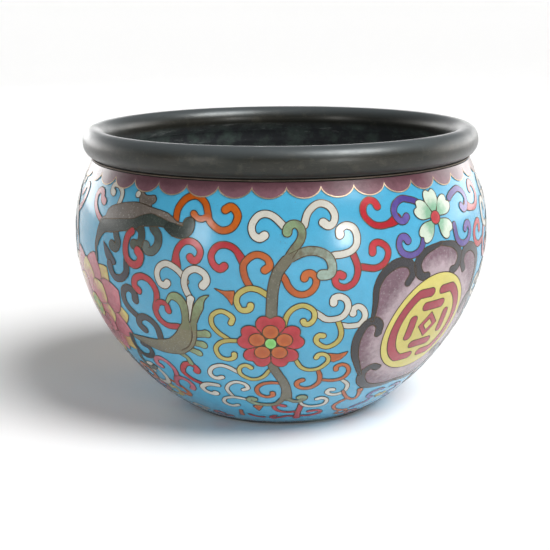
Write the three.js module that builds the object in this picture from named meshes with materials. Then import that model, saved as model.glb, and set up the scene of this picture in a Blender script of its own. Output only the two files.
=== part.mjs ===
// An enamelled bowl: a thick bronze vessel with a heavy rolled rim and a low foot ring,
// a thin coat of fused enamel outside it, and the wire that closes the enamel under the rim.
// Millimetres, +Z up, with the origin at the centre of the underside, on the standing plane.
import * as THREE from 'three';

// Overall shape of the enamelled outside
const overallHeight = 136.5;
const bellyRadius = 100;
const bellyHeight = 85.3;
const neckRadius = 90.8;
const enamelFootRadius = 48;
const footHeight = 1;

// How the side curves: slopes in degrees from level, and fullness as a share of each span
const footSlope = 26.5;
const neckSlope = 113;
const footFullness = 0.44;
const lowerBellyFullness = 0.44;
const upperBellyFullness = 0.52;
const neckFullness = 0.29;

// Thicknesses and the free gap kept between pieces that touch
const metalWall = 2.6;
const enamelThickness = 1.2;
const seatGap = 0.3;

// Rolled rim: an oval section, set a little outside the middle of the wall
const rimWidth = 11.3;
const rimHeight = 13.5;
const rimOutset = 0.9;

// Wire between the enamel and the rim
const wireHeight = 0.8;
const wireProud = 0.15;

// Foot ring under the base
const footRingInset = 1.2;
const footRingWidth = 6;
const baseRecess = 1.3;

// Fineness of the faceted surfaces
const turnSegments = 64;
const curveSteps = 6;
const rimSteps = 6;
const wireSides = 5;

const radians = (degrees) => degrees * Math.PI / 180;
const direction = (degrees, length) =>
  new THREE.Vector2(Math.cos(radians(degrees)), Math.sin(radians(degrees))).multiplyScalar(length);

// The enamel ends below the rim, where the wire lies between two gaps
const rimCentreZ = overallHeight - rimHeight / 2;
const rimUnderside = overallHeight - rimHeight;
const wireCentreZ = rimUnderside - seatGap - wireHeight / 2;
const neckHeight = wireCentreZ - wireHeight / 2 - seatGap;

// Outside of the enamel, as points and inward normals from the foot up to the neck:
// two cubic curves that meet upright at the belly
function sideSamples() {
  const foot = new THREE.Vector2(enamelFootRadius, footHeight);
  const belly = new THREE.Vector2(bellyRadius, bellyHeight);
  const neck = new THREE.Vector2(neckRadius, neckHeight);
  const lowerRise = bellyHeight - footHeight;
  const upperRise = neckHeight - bellyHeight;
  const footReach = footFullness * (bellyRadius - enamelFootRadius);
  const lower = new THREE.CubicBezierCurve(
    foot,
    foot.clone().add(direction(footSlope, footReach)),
    belly.clone().sub(new THREE.Vector2(0, lowerBellyFullness * lowerRise)),
    belly,
  );
  const upper = new THREE.CubicBezierCurve(
    belly,
    belly.clone().add(new THREE.Vector2(0, upperBellyFullness * upperRise)),
    neck.clone().sub(direction(neckSlope, neckFullness * upperRise)),
    neck,
  );
  const samples = [];
  for (const [curve, first] of [[lower, 0], [upper, 1]]) {
    for (let step = first; step <= curveSteps; step += 1) {
      const at = step / curveSteps;
      const along = curve.getTangent(at);
      samples.push({ point: curve.getPoint(at), inward: new THREE.Vector2(-along.y, along.x) });
    }
  }
  return samples;
}

// The side moved inwards by a depth, from the foot up
const side = sideSamples();
const sideAtDepth = (depth) =>
  side.map(({ point, inward }) => point.clone().addScaledVector(inward, depth));

// The rim's oval from where the outer wall runs into it, over the top, to the inner wall
function rimPoints(outerWallRadius, innerWallRadius) {
  const centreRadius = (outerWallRadius + innerWallRadius) / 2 + rimOutset;
  const halfWidth = rimWidth / 2;
  const startAngle = -Math.acos((outerWallRadius - centreRadius) / halfWidth);
  const topAngle = Math.PI / 2;
  const endAngle = 2 * Math.PI - Math.acos((innerWallRadius - centreRadius) / halfWidth);
  const points = [];
  for (const [from, to, first] of [[startAngle, topAngle, 0], [topAngle, endAngle, 1]]) {
    for (let step = first; step <= rimSteps; step += 1) {
      const angle = from + (to - from) * step / rimSteps;
      points.push(new THREE.Vector2(
        centreRadius + halfWidth * Math.cos(angle),
        rimCentreZ + rimHeight / 2 * Math.sin(angle),
      ));
    }
  }
  return points;
}

// A profile of (radius, height) points turned about Z
function turned(profile) {
  return new THREE.LatheGeometry(profile, turnSegments).rotateX(Math.PI / 2);
}

// Vessel: foot ring, outer wall under the enamel, rim, inner wall and flat inner floor
const outerWall = sideAtDepth(enamelThickness + seatGap);
const innerWall = sideAtDepth(enamelThickness + seatGap + metalWall);
const neckWallRadius = outerWall[outerWall.length - 1].x;
const innerNeckRadius = innerWall[innerWall.length - 1].x;

function vesselGeometry() {
  const ringOuter = enamelFootRadius - footRingInset;
  const ringInner = ringOuter - footRingWidth;
  const wallStart = outerWall[0];
  const foot = [
    new THREE.Vector2(0, baseRecess),
    new THREE.Vector2(ringInner, baseRecess),
    new THREE.Vector2(ringInner, 0),
    new THREE.Vector2(ringOuter, 0),
    new THREE.Vector2(ringOuter, wallStart.y),
  ];
  const floorCentre = new THREE.Vector2(0, innerWall[0].y);
  const inside = innerWall.slice().reverse();
  return turned([...foot, ...outerWall, ...rimPoints(neckWallRadius, innerNeckRadius), ...inside, floorCentre]);
}

// Enamel: a shell of even thickness, closed at the foot and at the neck
function enamelGeometry() {
  const outside = sideAtDepth(0);
  const inside = sideAtDepth(enamelThickness).reverse();
  return turned([...outside, ...inside, outside[0].clone()]);
}

// Wire: an oval section that fills the ledge between enamel and rim
function wireGeometry() {
  const innerRadius = neckWallRadius + seatGap;
  const outerRadius = neckRadius + wireProud;
  const points = [];
  for (let step = 0; step <= wireSides; step += 1) {
    const angle = 2 * Math.PI * (step % wireSides) / wireSides;
    points.push(new THREE.Vector2(
      (innerRadius + outerRadius) / 2 + (outerRadius - innerRadius) / 2 * Math.cos(angle),
      wireCentreZ + wireHeight / 2 * Math.sin(angle),
    ));
  }
  return turned(points);
}

const darkBronze = new THREE.MeshStandardMaterial({ color: 0x3c3c38, roughness: 0.38, metalness: 0.9 });
const turquoiseEnamel = new THREE.MeshStandardMaterial({ color: 0x4fb3dc, roughness: 0.2, metalness: 0 });
const copperWire = new THREE.MeshStandardMaterial({ color: 0x9a6a45, roughness: 0.4, metalness: 0.9 });

function addPiece(parent, name, geometry, material) {
  const mesh = new THREE.Mesh(geometry, material);
  mesh.name = name;
  parent.add(mesh);
}

const bowl = new THREE.Group();
addPiece(bowl, 'bronze_vessel', vesselGeometry(), darkBronze);
addPiece(bowl, 'enamel_coat', enamelGeometry(), turquoiseEnamel);
addPiece(bowl, 'edge_wire', wireGeometry(), copperWire);

export default bowl;
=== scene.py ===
import bpy
import bmesh
import numpy as np
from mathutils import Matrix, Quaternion


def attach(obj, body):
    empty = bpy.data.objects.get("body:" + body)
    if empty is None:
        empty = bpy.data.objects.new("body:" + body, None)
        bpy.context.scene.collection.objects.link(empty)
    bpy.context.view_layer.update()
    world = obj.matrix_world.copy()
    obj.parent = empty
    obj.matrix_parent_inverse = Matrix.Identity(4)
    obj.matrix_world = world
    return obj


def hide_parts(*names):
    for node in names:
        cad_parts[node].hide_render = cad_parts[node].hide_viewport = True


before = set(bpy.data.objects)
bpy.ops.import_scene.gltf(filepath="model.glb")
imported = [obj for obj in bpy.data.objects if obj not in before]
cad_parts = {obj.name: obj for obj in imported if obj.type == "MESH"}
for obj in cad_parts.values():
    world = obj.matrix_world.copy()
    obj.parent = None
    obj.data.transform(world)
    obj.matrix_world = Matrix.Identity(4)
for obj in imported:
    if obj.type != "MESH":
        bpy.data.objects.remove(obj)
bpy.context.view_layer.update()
mm = 0.001
print("frame loaded")

# The bowl's side, from the enamel's top edge at the neck down to the foot

bowl = {                        # millimetres and degrees, as in the solid model
    "height": 136.5,
    "bellyRadius": 100.0,
    "bellyHeight": 85.3,
    "neckRadius": 90.8,
    "neckHeight": 121.6,
    "footRadius": 48.0,
    "footHeight": 1.0,
    "footSlope": 26.5,
    "neckSlope": 113.0,
    "footFullness": 0.44,
    "lowerBellyFullness": 0.44,
    "upperBellyFullness": 0.52,
    "neckFullness": 0.29,
    "lowerSteps": 500,          # points along the two curves of the side
    "upperSteps": 260,
}


def bezier(corners, count):
    # cubic curve: four corner points weighted by (1-t)^3, 3t(1-t)^2, 3t^2(1-t) and t^3
    t = np.linspace(0, 1, count)[:, None]
    a, b, c, d = np.array(corners, float)
    return (1 - t)**3 * a + 3 * t * (1 - t)**2 * b + 3 * t**2 * (1 - t) * c + t**3 * d


def onCircle(a):
    # points of the unit circle at angles in radians
    return np.stack([np.cos(a), np.sin(a)], -1)


def wholeTurn(count):
    return np.linspace(0, 2 * np.pi, count, endpoint=False)


def towards(angle, length):
    # (x, y) of a step of that length at an angle in degrees
    return onCircle(np.radians(angle)) * length


def distances(path):
    # how far along the path each of its points lies
    return np.concatenate([[0], np.cumsum(np.hypot(*np.diff(path, axis=0).T))])


def between(at, far, path):
    # points of a path, or directions along it, at given distances
    return np.stack([np.interp(at, far, values) for values in path.T], 1)


foot = np.array([bowl["footRadius"], bowl["footHeight"]])
belly = np.array([bowl["bellyRadius"], bowl["bellyHeight"]])
neck = np.array([bowl["neckRadius"], bowl["neckHeight"]])
lowerRise = bowl["bellyHeight"] - bowl["footHeight"]
upperRise = bowl["neckHeight"] - bowl["bellyHeight"]
lowerSide = bezier([
    foot,
    foot + towards(bowl["footSlope"], bowl["footFullness"] * (belly - foot)[0]),
    belly - [0, bowl["lowerBellyFullness"] * lowerRise],
    belly,
], bowl["lowerSteps"])
upperSide = bezier([
    belly,
    belly + [0, bowl["upperBellyFullness"] * upperRise],
    neck - towards(bowl["neckSlope"], bowl["neckFullness"] * upperRise),
    neck,
], bowl["upperSteps"])
side = np.vstack([lowerSide, upperSide[1:]])[::-1]
sideArc = distances(side)
sideLength = sideArc[-1]
sideSlope = np.gradient(side, sideArc, axis=0)
sideOut = np.stack([-sideSlope[:, 1], sideSlope[:, 0]], 1)
sideOut /= np.hypot(*sideOut.T)[:, None]


def radiusAt(down):
    return np.interp(down, sideArc, side[:, 0])


def onBody(turn, down, lift):
    # turn round the axis, distance down the side, and lift along the side's outward normal
    r = radiusAt(down) + lift * np.interp(down, sideArc, sideOut[:, 0])
    z = np.interp(down, sideArc, side[:, 1]) + lift * np.interp(down, sideArc, sideOut[:, 1])
    a = np.radians(turn)
    return np.stack([r * np.sin(a), -r * np.cos(a), z], -1) * mm


# Making meshes from grids of points

def gridFaces(rows, columns, first=0):
    # quads between neighbouring rows and columns
    i, j = np.meshgrid(np.arange(rows - 1), np.arange(columns - 1), indexing="ij")
    a = (first + i * columns + j).ravel()
    return np.stack([a, a + 1, a + columns + 1, a + columns], 1)


def makePiece(name, points, faces, uv, shade=None):
    # a smooth mesh with its own map; points that meet at seams and poles are joined
    mesh = bpy.data.meshes.new(name)
    mesh.vertices.add(len(points))
    mesh.vertices.foreach_set("co", np.ascontiguousarray(points, np.float32).ravel())
    mesh.loops.add(faces.size)
    mesh.loops.foreach_set("vertex_index", faces.astype(np.int32).ravel())
    mesh.polygons.add(len(faces))
    mesh.polygons.foreach_set("loop_start", np.arange(0, faces.size, 4, dtype=np.int32))
    mesh.update(calc_edges=True)
    layer = mesh.uv_layers.new(name="OFBake")
    layer.data.foreach_set("uv", np.ascontiguousarray(uv[faces.ravel()], np.float32).ravel())
    values = np.zeros(len(points)) if shade is None else shade
    tone = mesh.attributes.new("shade", "FLOAT", "POINT")
    tone.data.foreach_set("value", values.astype(np.float32))
    work = bmesh.new()
    work.from_mesh(mesh)
    bmesh.ops.remove_doubles(work, verts=work.verts, dist=1e-6)
    work.to_mesh(mesh)
    work.free()
    mesh.validate()
    mesh.polygons.foreach_set("use_smooth", np.ones(len(mesh.polygons), bool))
    piece = bpy.data.objects.new(name, mesh)
    bpy.context.scene.collection.objects.link(piece)
    print("made", name, len(mesh.polygons), "faces")
    return piece


def lathe(name, section, segments, closed=True):
    # a section of (radius, height) points carried round the axis in equal turns
    turn = np.radians(np.linspace(0, 360, segments + 1))
    turn[-1] = 0
    ring = np.vstack([section, section[:1]]) if closed else np.array(section)
    r, z = ring[:, 0][None], ring[:, 1][None]
    flat = 0 * turn[:, None]
    points = np.stack([r * np.sin(turn)[:, None], -r * np.cos(turn)[:, None], z + flat], -1)
    along = distances(ring)
    u, v = np.meshgrid(np.linspace(0, 1, segments + 1), along / along[-1], indexing="ij")
    faces = gridFaces(len(turn), len(ring))
    area = np.sum(ring[:-1, 0] * ring[1:, 1] - ring[1:, 0] * ring[:-1, 1])
    area += ring[-1, 0] * ring[0, 1] - ring[0, 0] * ring[-1, 1]
    if area < 0:                # a section that runs with the clock has its faces turned over
        faces = faces[:, ::-1]
    return makePiece(name, points.reshape(-1, 3) * mm, faces, np.stack([u.ravel(), v.ravel()], 1))


def roundedCorners(corners, radius, steps=5):
    # each inner corner becomes a short quadratic curve that starts and ends a radius away,
    # or a little short of halfway to the next corner
    most = 0.45
    p = np.array(corners, float)
    out = [p[:1]]
    for before, here, after in zip(p[:-2], p[1:-1], p[2:]):
        reachIn = min(radius, most * np.hypot(*(here - before)))
        reachOut = min(radius, most * np.hypot(*(after - here)))
        a = here + (before - here) / np.hypot(*(before - here)) * reachIn
        c = here + (after - here) / np.hypot(*(after - here)) * reachOut
        t = np.linspace(0, 1, steps)[:, None]
        out.append((1 - t)**2 * a + 2 * t * (1 - t) * here + t**2 * c)
    return np.vstack(out + [p[-1:]])


# The bronze vessel: one closed wall with a rolled rim, a foot ring and a flat floor in the well

vessel = {
    "wall": 2.6,
    "enamelDepth": 1.2,
    "seat": 0.3,
    "rimWidth": 11.3,
    "rimHeight": 13.5,
    "rimOutset": 0.9,
    "footRingInset": 1.2,
    "footRingWidth": 6.0,
    "baseRecess": 1.3,
    "cornerRadius": 0.7,
    "floorRadius": 5.0,
    "floorFlat": 34,            # the well's floor is flat out to this radius
    "discStop": 2,              # the underside's even steps end this far inside the foot ring
    "discSteps": 12,
    "rimSteps": 30,
    "segments": 288,
}


def offsetSide(depth, count=90):
    # the side moved inwards along its normal, from the neck down to the foot
    down = np.linspace(0, sideLength, count)
    return between(down, sideArc, side) - between(down, sideArc, sideOut) * depth


def acrossDisc(start, end, height):
    # even steps from one radius to another
    count = vessel["discSteps"]
    return np.stack([np.linspace(start, end, count), np.full(count, height)], 1)


outerWall = offsetSide(vessel["enamelDepth"] + vessel["seat"])
innerWall = offsetSide(vessel["enamelDepth"] + vessel["seat"] + vessel["wall"])
rimHalf = np.array([vessel["rimWidth"], vessel["rimHeight"]]) / 2
rimMiddle = np.array([
    (outerWall[0, 0] + innerWall[0, 0]) / 2 + vessel["rimOutset"],
    bowl["height"] - rimHalf[1],
])
rimStart = -np.arccos((outerWall[0, 0] - rimMiddle[0]) / rimHalf[0])
rimEnd = 2 * np.pi - np.arccos((innerWall[0, 0] - rimMiddle[0]) / rimHalf[0])
rimAngles = np.concatenate([
    np.linspace(rimStart, np.pi / 2, vessel["rimSteps"]),
    np.linspace(np.pi / 2, rimEnd, vessel["rimSteps"])[1:],
])
rimOval = rimMiddle + rimHalf * onCircle(rimAngles)
ringOuter = bowl["footRadius"] - vessel["footRingInset"]
ringInner = ringOuter - vessel["footRingWidth"]
underside = roundedCorners([
    (0, vessel["baseRecess"]),
    (ringInner, vessel["baseRecess"]),
    (ringInner, 0),
    (ringOuter, 0),
    (ringOuter, outerWall[-1, 1]),
    outerWall[-1],
], vessel["cornerRadius"])
recess = acrossDisc(0, ringInner - vessel["discStop"], vessel["baseRecess"])
wellFloor = innerWall[-1, 1]
floorEdge = (vessel["floorFlat"], wellFloor)
floorCurve = roundedCorners([innerWall[-4], innerWall[-1], floorEdge], vessel["floorRadius"], 8)
wellEnd = acrossDisc(vessel["floorFlat"], 0, wellFloor)
vesselSection = np.vstack([
    recess,
    underside[1:],
    outerWall[::-1][1:],
    rimOval[1:],
    innerWall[1:-4],
    floorCurve,
    wellEnd[1:],
])
bronzeVessel = lathe("bronze_body", vesselSection, vessel["segments"], closed=False)
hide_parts("bronze_vessel")

# The wire that closes the enamel under the rim

edge = {"height": 0.8, "proud": 0.15, "gap": 0.3, "sides": 14, "segments": 288}
wireInner = outerWall[0, 0] + edge["gap"]
wireOuter = bowl["neckRadius"] + edge["proud"]
wireMiddle = np.array([
    (wireInner + wireOuter) / 2,
    bowl["height"] - vessel["rimHeight"] - edge["gap"] - edge["height"] / 2,
])
wireHalf = np.array([(wireOuter - wireInner) / 2, edge["height"] / 2])
wireSection = wireMiddle + wireHalf * onCircle(wholeTurn(edge["sides"]))
edgeWire = lathe("edge_ring", wireSection, edge["segments"])
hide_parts("edge_wire")

# The turquoise ground: a closed shell a little inside the solid's surface, so that the
# coloured cells and wires that lie on it end at that surface

ground = {
    "sunk": 0.45,               # how far the ground lies inside the solid enamel
    "cellStep": 0.05,           # lift from one level of cells to the next
    "orderStep": 0.0003,        # lift between cells of one level, so that none share a plane
    "segments": 384,
    "rows": 112,
}
groundOutside = offsetSide(ground["sunk"], ground["rows"])
groundInside = offsetSide(vessel["enamelDepth"], 40)[::-1]
groundShell = lathe("enamel_ground", np.vstack([groundOutside, groundInside]), ground["segments"])
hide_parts("enamel_coat")

# Drawing on the body: every cell is a grid over turn and distance down

pathStep = 0.8                  # millimetres between the points of strokes,
outlineStep = 0.6               # of smooth outlines
cornerStep = 0.7                # and of outlines with corners
wire = {"width": 0.55, "crest": 0.024, "sink": 0.02}
ribbon = np.array([-wire["sink"], wire["crest"], -wire["sink"]])
medallionTurn = 44.5            # the design is mirrored about this turn,
lotusTurn = -64.0               # and the lotus and what is beside it about this one
frontSheet = 0                  # the turns where three flat drawings are laid on the body
leftSheet = -37
rightSheet = 37
once = [(1, 0)]
bothSides = [(1, 0), (-1, 2 * medallionTurn)]
besideLotus = bothSides + [
    (-1, 2 * lotusTurn),
    (1, 2 * medallionTurn - 2 * lotusTurn),
]
frontAndBack = [(1, 0), (1, 180)]
besideMedallion = bothSides + [(1, 180), (-1, 180 + 2 * medallionTurn)]
cells = {}
drawn = {"count": 0}


def addGrid(name, turn, down, lift, shade, copies):
    turn, down, lift, shade = np.broadcast_arrays(turn, down, lift, shade)
    for sign, shift in copies:
        cells.setdefault(name, []).append((sign * turn + shift, down, lift, shade))


def sheetGrid(name, sector, sheet, lift, shade, copies):
    # a flat grid of (across, down) millimetres is wrapped round the body at a sector's turn
    turn = sector + np.degrees(sheet[..., 0] / radiusAt(sheet[..., 1]))
    addGrid(name, turn, sheet[..., 1], lift, shade, copies)


def pairs(numbers):
    # across and down by turns become rows of two
    return np.array(numbers, float).reshape(-1, 2)


def nextLift(level):
    drawn["count"] += 1
    order = drawn["count"] % 60
    return -ground["sunk"] + level * ground["cellStep"] + order * ground["orderStep"]


def spaced(path, step):
    # the same path with points at even distances
    far = distances(path)
    at = np.linspace(0, far[-1], max(8, int(np.ceil(far[-1] / step)) + 1))
    return between(at, far, path)


def smoothPath(points, step=pathStep):
    # Catmull-Rom: at each point the slope is half the way from the one before to the one after
    p = pairs(points)
    p = np.vstack([2 * p[0] - p[1], p, 2 * p[-1] - p[-2]])
    t = np.linspace(0, 1, 14, endpoint=False)[:, None, None]
    a, b, c, d = p[:-3], p[1:-2], p[2:-1], p[3:]
    curve = 2 * b + (c - a) * t + (2 * a - 5 * b + 4 * c - d) * t**2 + (3 * b - a - 3 * c + d) * t**3
    curve = 0.5 * curve.transpose(1, 0, 2).reshape(-1, 2)
    return spaced(np.vstack([curve, p[-2:-1]]), step)


def curlPath(x, y, radius, start, sweep, tail, tight=0.7):
    # an arc about (x, y) whose radius closes in as the square of the way along it,
    # after a tail that bends more and more
    t = np.linspace(0, 1, 40)
    r = radius * (1 - (1 - tight) * t**2)
    arc = [x, y] + r[:, None] * onCircle(np.radians(start + sweep * t))
    hand = np.sign(sweep)
    back = (np.arange(16) + 0.5) / 16
    heading = np.radians(start) + hand * (np.pi / 2 - tail / radius * (1 - (1 - back)**3) / 3)
    steps = onCircle(heading) * tail / 16
    return spaced(np.vstack([(arc[0] - np.cumsum(steps, axis=0))[::-1], arc]), pathStep)


def normals(path, closed=False):
    # unit vectors across and along the path
    if closed:
        slope = np.roll(path, -1, axis=0) - np.roll(path, 1, axis=0)
    else:
        slope = np.gradient(path, axis=0)
    slope /= np.maximum(np.hypot(*slope.T), 1e-9)[:, None]
    return np.stack([-slope[:, 1], slope[:, 0]], 1), slope


def wireAlong(sector, path, lift, copies, closed=True):
    # a low ribbon: half a width of the unit normal on each side, the middle line a little higher
    half = wire["width"] / 2
    across, _ = normals(path, closed)
    rows = np.stack([path - across * half, path, path + across * half], 1)
    if closed:
        rows = np.vstack([rows, rows[:1]])
    sheetGrid("cell_wires", sector, rows, lift + ribbon, 0.0, copies)


def stroke(name, sector, points, halfWidth, level, copies, root=1.0, joined=0, tip=1.2,
           path=None, swell=0.18):
    # a ribbon of even width with round ends: half the width times the unit normal on each side,
    # and at each end the cosine of a quarter turn of it while the middle moves on by its sine;
    # a joined stroke has no wire over its first rows, so that it flows out of what it grows from
    middle = smoothPath(points) if path is None else path
    far = distances(middle)
    w = halfWidth * np.interp(far / far[-1], [0, swell, 0.8, 0.95, 1], [root, 1, 1, tip, tip])
    across, along = normals(middle)
    cap = np.radians([18, 36, 54, 72, 90])
    ahead = np.sin(cap)[:, None]
    tipRows = middle[-1] + along[-1] * ahead * w[-1]
    rootRows = (middle[0] - along[0] * ahead * w[0])[::-1]
    path = np.vstack([rootRows, middle, tipRows])
    across = np.pad(across, ((len(cap), len(cap)), (0, 0)), "edge")
    w = np.concatenate([(w[0] * np.cos(cap))[::-1], w, w[-1] * np.cos(cap)])
    v = np.linspace(-1, 1, 5)
    sheet = path[:, None] + across[:, None] * (w[:, None] * v)[..., None]
    lift = nextLift(level)
    shade = np.linspace(0, 1, len(path))[:, None] + 0 * v
    sheetGrid(name, sector, sheet, lift, shade, copies)
    outline = np.vstack([sheet[joined:-1, 0], sheet[:max(joined - 1, 0):-1, -1]])
    wireAlong(sector, outline, lift, copies, not joined)


def fan(name, sector, outline, level, copies, middle=None, spacing=2.6, tone=None):
    # rings between a middle point and a closed outline; the shade is 0 in the middle and 1 outside,
    # or with a tone (x, y, near, far) runs with the distance from (x, y)
    middle = outline.mean(0) if middle is None else np.array(middle, float)
    reach = np.hypot(*(outline - middle).T).max()
    k = np.linspace(0, 1, max(3, int(np.ceil(reach / spacing)) + 1))
    ring = np.vstack([outline, outline[:1]])
    sheet = middle + (ring - middle)[None] * k[:, None, None]
    lift = nextLift(level)
    shade = k[:, None]
    if tone:
        x, y, near, far = tone
        shade = np.clip((np.hypot(sheet[..., 0] - x, sheet[..., 1] - y) - near) / (far - near), 0, 1)
    sheetGrid(name, sector, sheet, lift, shade, copies)
    wireAlong(sector, outline, lift, copies)


def disc(name, sector, x, y, radius, level, copies, squash=1.0):
    outline = [x, y] + [radius, radius * squash] * onCircle(wholeTurn(36))
    fan(name, sector, outline, level, copies, (x, y))


def band(name, sector, edgeA, edgeB, level, copies, joined=0):
    # a ruled sheet between two smooth edges; its shade runs from their starts to their ends
    edges = [smoothPath(edgeA, 1.0), smoothPath(edgeB, 1.0)]
    count = max(len(p) for p in edges)
    at = np.linspace(0, 1, count)
    even = [between(at, np.linspace(0, 1, len(p)), p) for p in edges]
    k = np.linspace(0, 1, 7)[None, :, None]
    sheet = even[0][:, None] * (1 - k) + even[1][:, None] * k
    lift = nextLift(level)
    shade = np.linspace(0, 1, count)[:, None] + 0 * k[..., 0]
    sheetGrid(name, sector, sheet, lift, shade, copies)
    outline = np.vstack([even[0][joined:], even[1][:max(joined - 1, 0):-1]])
    wireAlong(sector, outline, lift, copies, not joined)


def turned(points, angle, x, y):
    # (along, aside) points turned so that "along" points at the angle, then moved to (x, y)
    a = np.radians(angle)
    return np.stack([
        x + points[:, 0] * np.cos(a) - points[:, 1] * np.sin(a),
        y + points[:, 0] * np.sin(a) + points[:, 1] * np.cos(a),
    ], 1)


def heartOutline(length, width, notch):
    # a heart curve blended with an oval: its point is at 0 and its two lobes at the far end
    t = wholeTurn(60)
    heartAlong = (13 * np.cos(t) - 5 * np.cos(2 * t) - 2 * np.cos(3 * t) - np.cos(4 * t) + 17) / 28.9
    ovalAlong = 0.5 + 0.5 * np.cos(t)
    along = length * (notch * heartAlong + (1 - notch) * ovalAlong)
    aside = width / 2 * (notch * np.sin(t)**3 + (1 - notch) * np.sin(t))
    return np.stack([along, aside], 1)


def leafOutline(length, width, fullest=0.5):
    # a pointed leaf: its width rises and falls as a sine, fullest at the given share
    u = np.linspace(0, 1, 24)
    bend = np.log(0.5) / np.log(fullest)
    half = width / 2 * np.sin(np.pi * u**bend)**0.85
    top = np.stack([u * length, half], 1)
    return np.vstack([top, (top * [1, -1])[::-1][1:-1]])


# The scalloped border under the rim

border = {
    "lobes": 40,
    "firstCusp": 6.5,
    "cuspDown": 2.0,
    "lobeDown": 6.8,
    "round": 0.62,              # the power that makes the lobes rounder or more pointed
    "wireWidth": 0.66,
    "seamTurn": -140,           # where the ring's ends meet, out of sight
}


def scallopedBorder():
    # each lobe hangs as (1 - u squared) to a power, with u from -1 to 1 across it
    pitch = 360 / border["lobes"]
    u = np.sin(np.radians(np.linspace(-90, 90, 15)))[:-1]
    lobe = np.arange(border["lobes"])[:, None]
    turn = (border["firstCusp"] + pitch * (lobe + 0.5 + 0.5 * u)).ravel()
    hang = np.tile((1 - u**2)**border["round"], border["lobes"])
    edgeDown = border["cuspDown"] + (border["lobeDown"] - border["cuspDown"]) * hang
    turn = np.append(turn, turn[0] + 360) + border["seamTurn"]
    edgeDown = np.append(edgeDown, edgeDown[0])
    k = np.linspace(0, 1, 5)[:, None]
    lift = nextLift(7)
    addGrid("border_maroon", turn[None], edgeDown[None] * k, lift, k, once)
    perDegree = np.radians(1) * radiusAt(border["lobeDown"])
    slope = np.stack([np.gradient(turn) * perDegree, np.gradient(edgeDown)])
    slope *= border["wireWidth"] / 2 / np.hypot(*slope)
    v = np.array([-1, 0, 1])[:, None]
    wireTurn = turn - v * slope[1] / perDegree
    addGrid("border_wire", wireTurn, edgeDown + v * slope[0], lift + ribbon[:, None], 0.0, once)


scallopedBorder()
print("border drawn")

# The long stem and the curls about it, in front

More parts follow.
